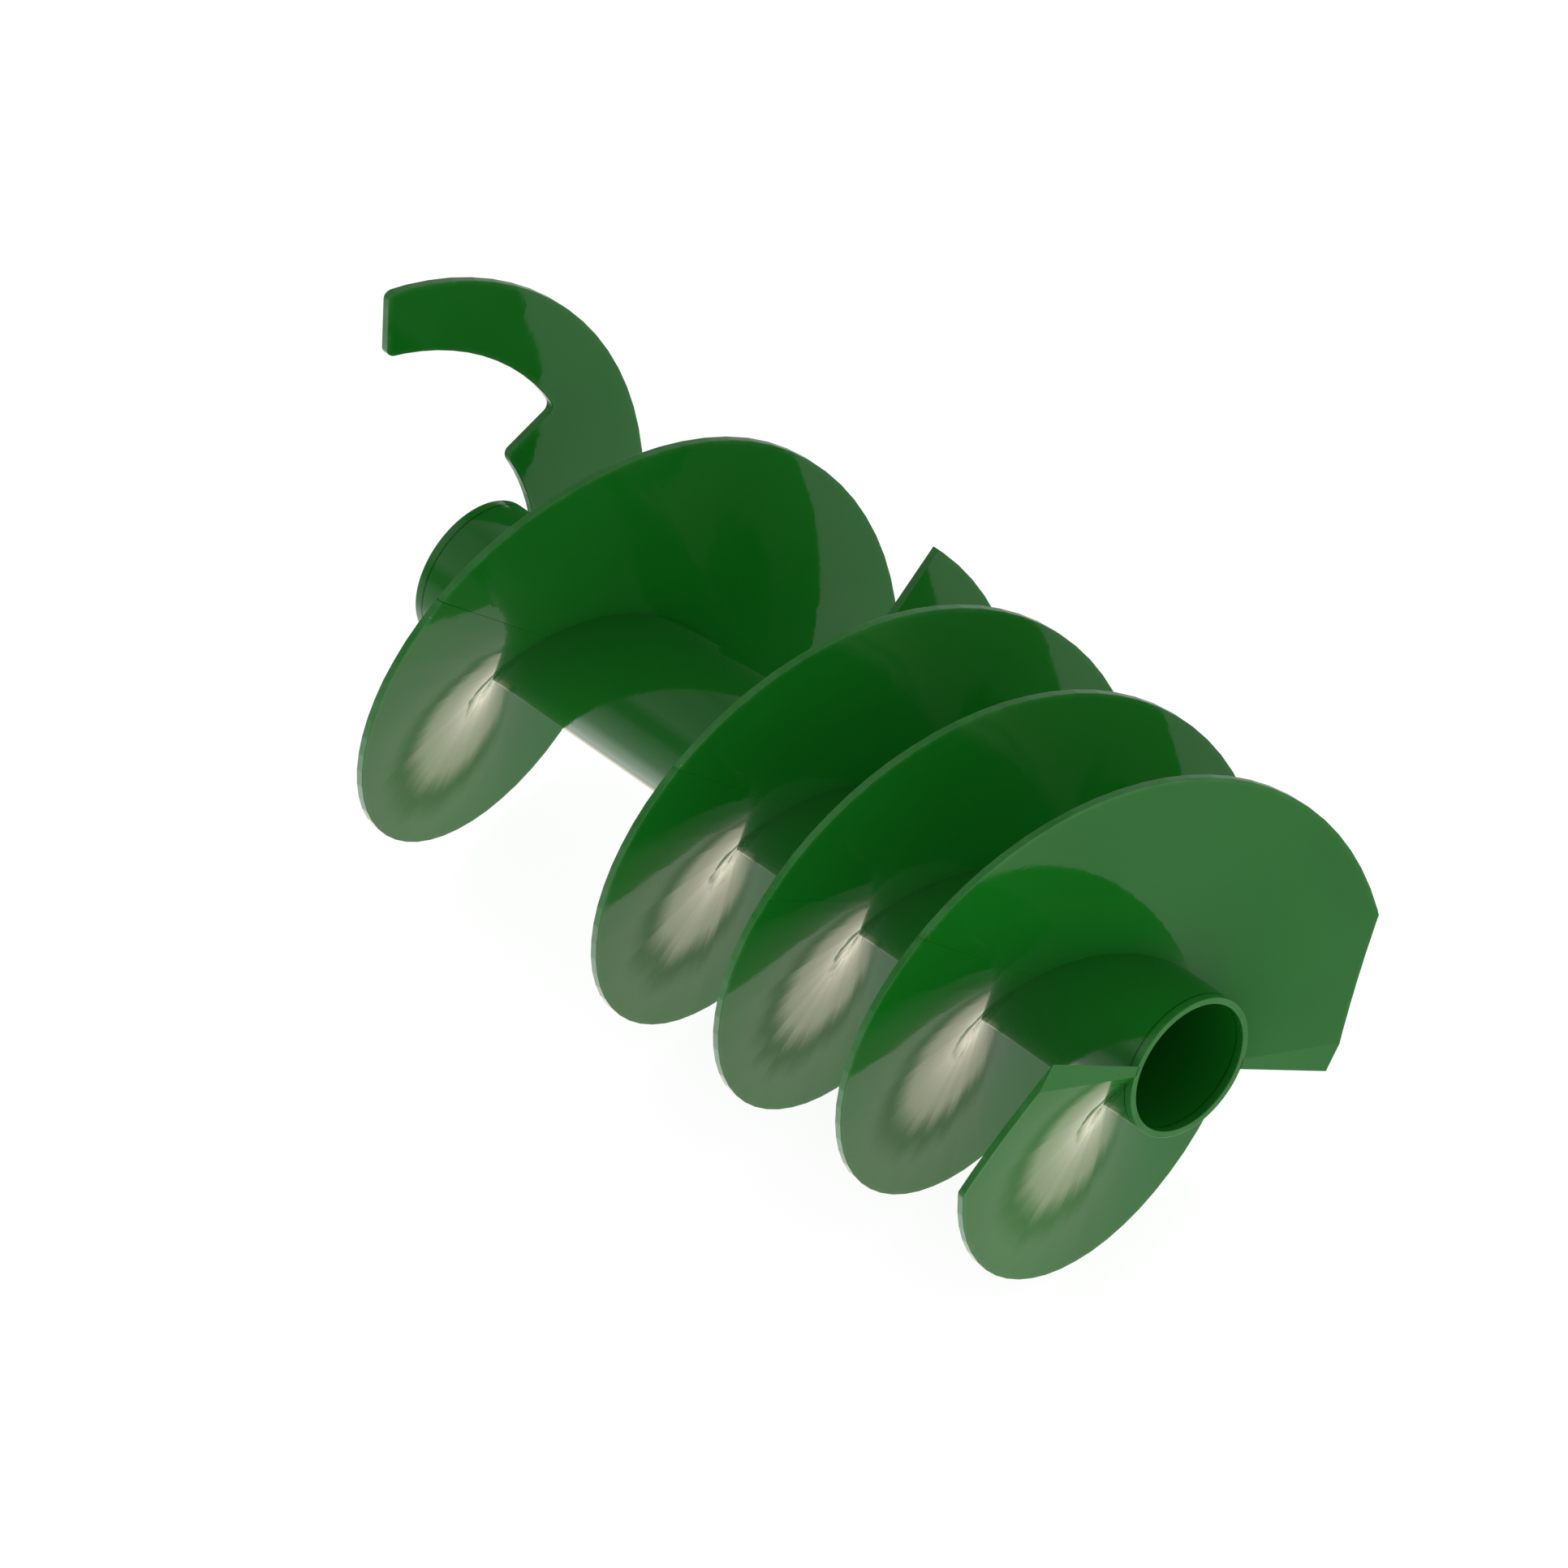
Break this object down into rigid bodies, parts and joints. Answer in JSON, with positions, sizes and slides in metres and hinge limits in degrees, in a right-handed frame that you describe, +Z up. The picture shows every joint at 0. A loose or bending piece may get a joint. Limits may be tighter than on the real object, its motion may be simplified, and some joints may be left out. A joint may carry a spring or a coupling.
{
  "type": "screw auger",
  "caption": "Painted steel screw auger: a round tube with left-handed helical flights, overlapping towards its near end and leaving its far end as a curved, stepped free arm.",
  "frame": {"origin": "on the tube's axis, midway between the near end face and the tip of the free arm", "axes": "+X along the tube towards its plain near end, +Z up as the screw lies, +Y to the side of the free arm"},
  "size_m": [0.6762, 0.316, 0.316],
  "materials": {
    "green_paint": "gloss green enamel over steel"
  },
  "bodies": {
    "root": {"tube": "green_paint", "main_flight_near": "green_paint", "main_flight_middle": "green_paint", "main_flight_far": "green_paint", "hook_flight": "green_paint", "second_flight_near": "green_paint", "second_flight_far": "green_paint"}
  },
  "joints": []
}
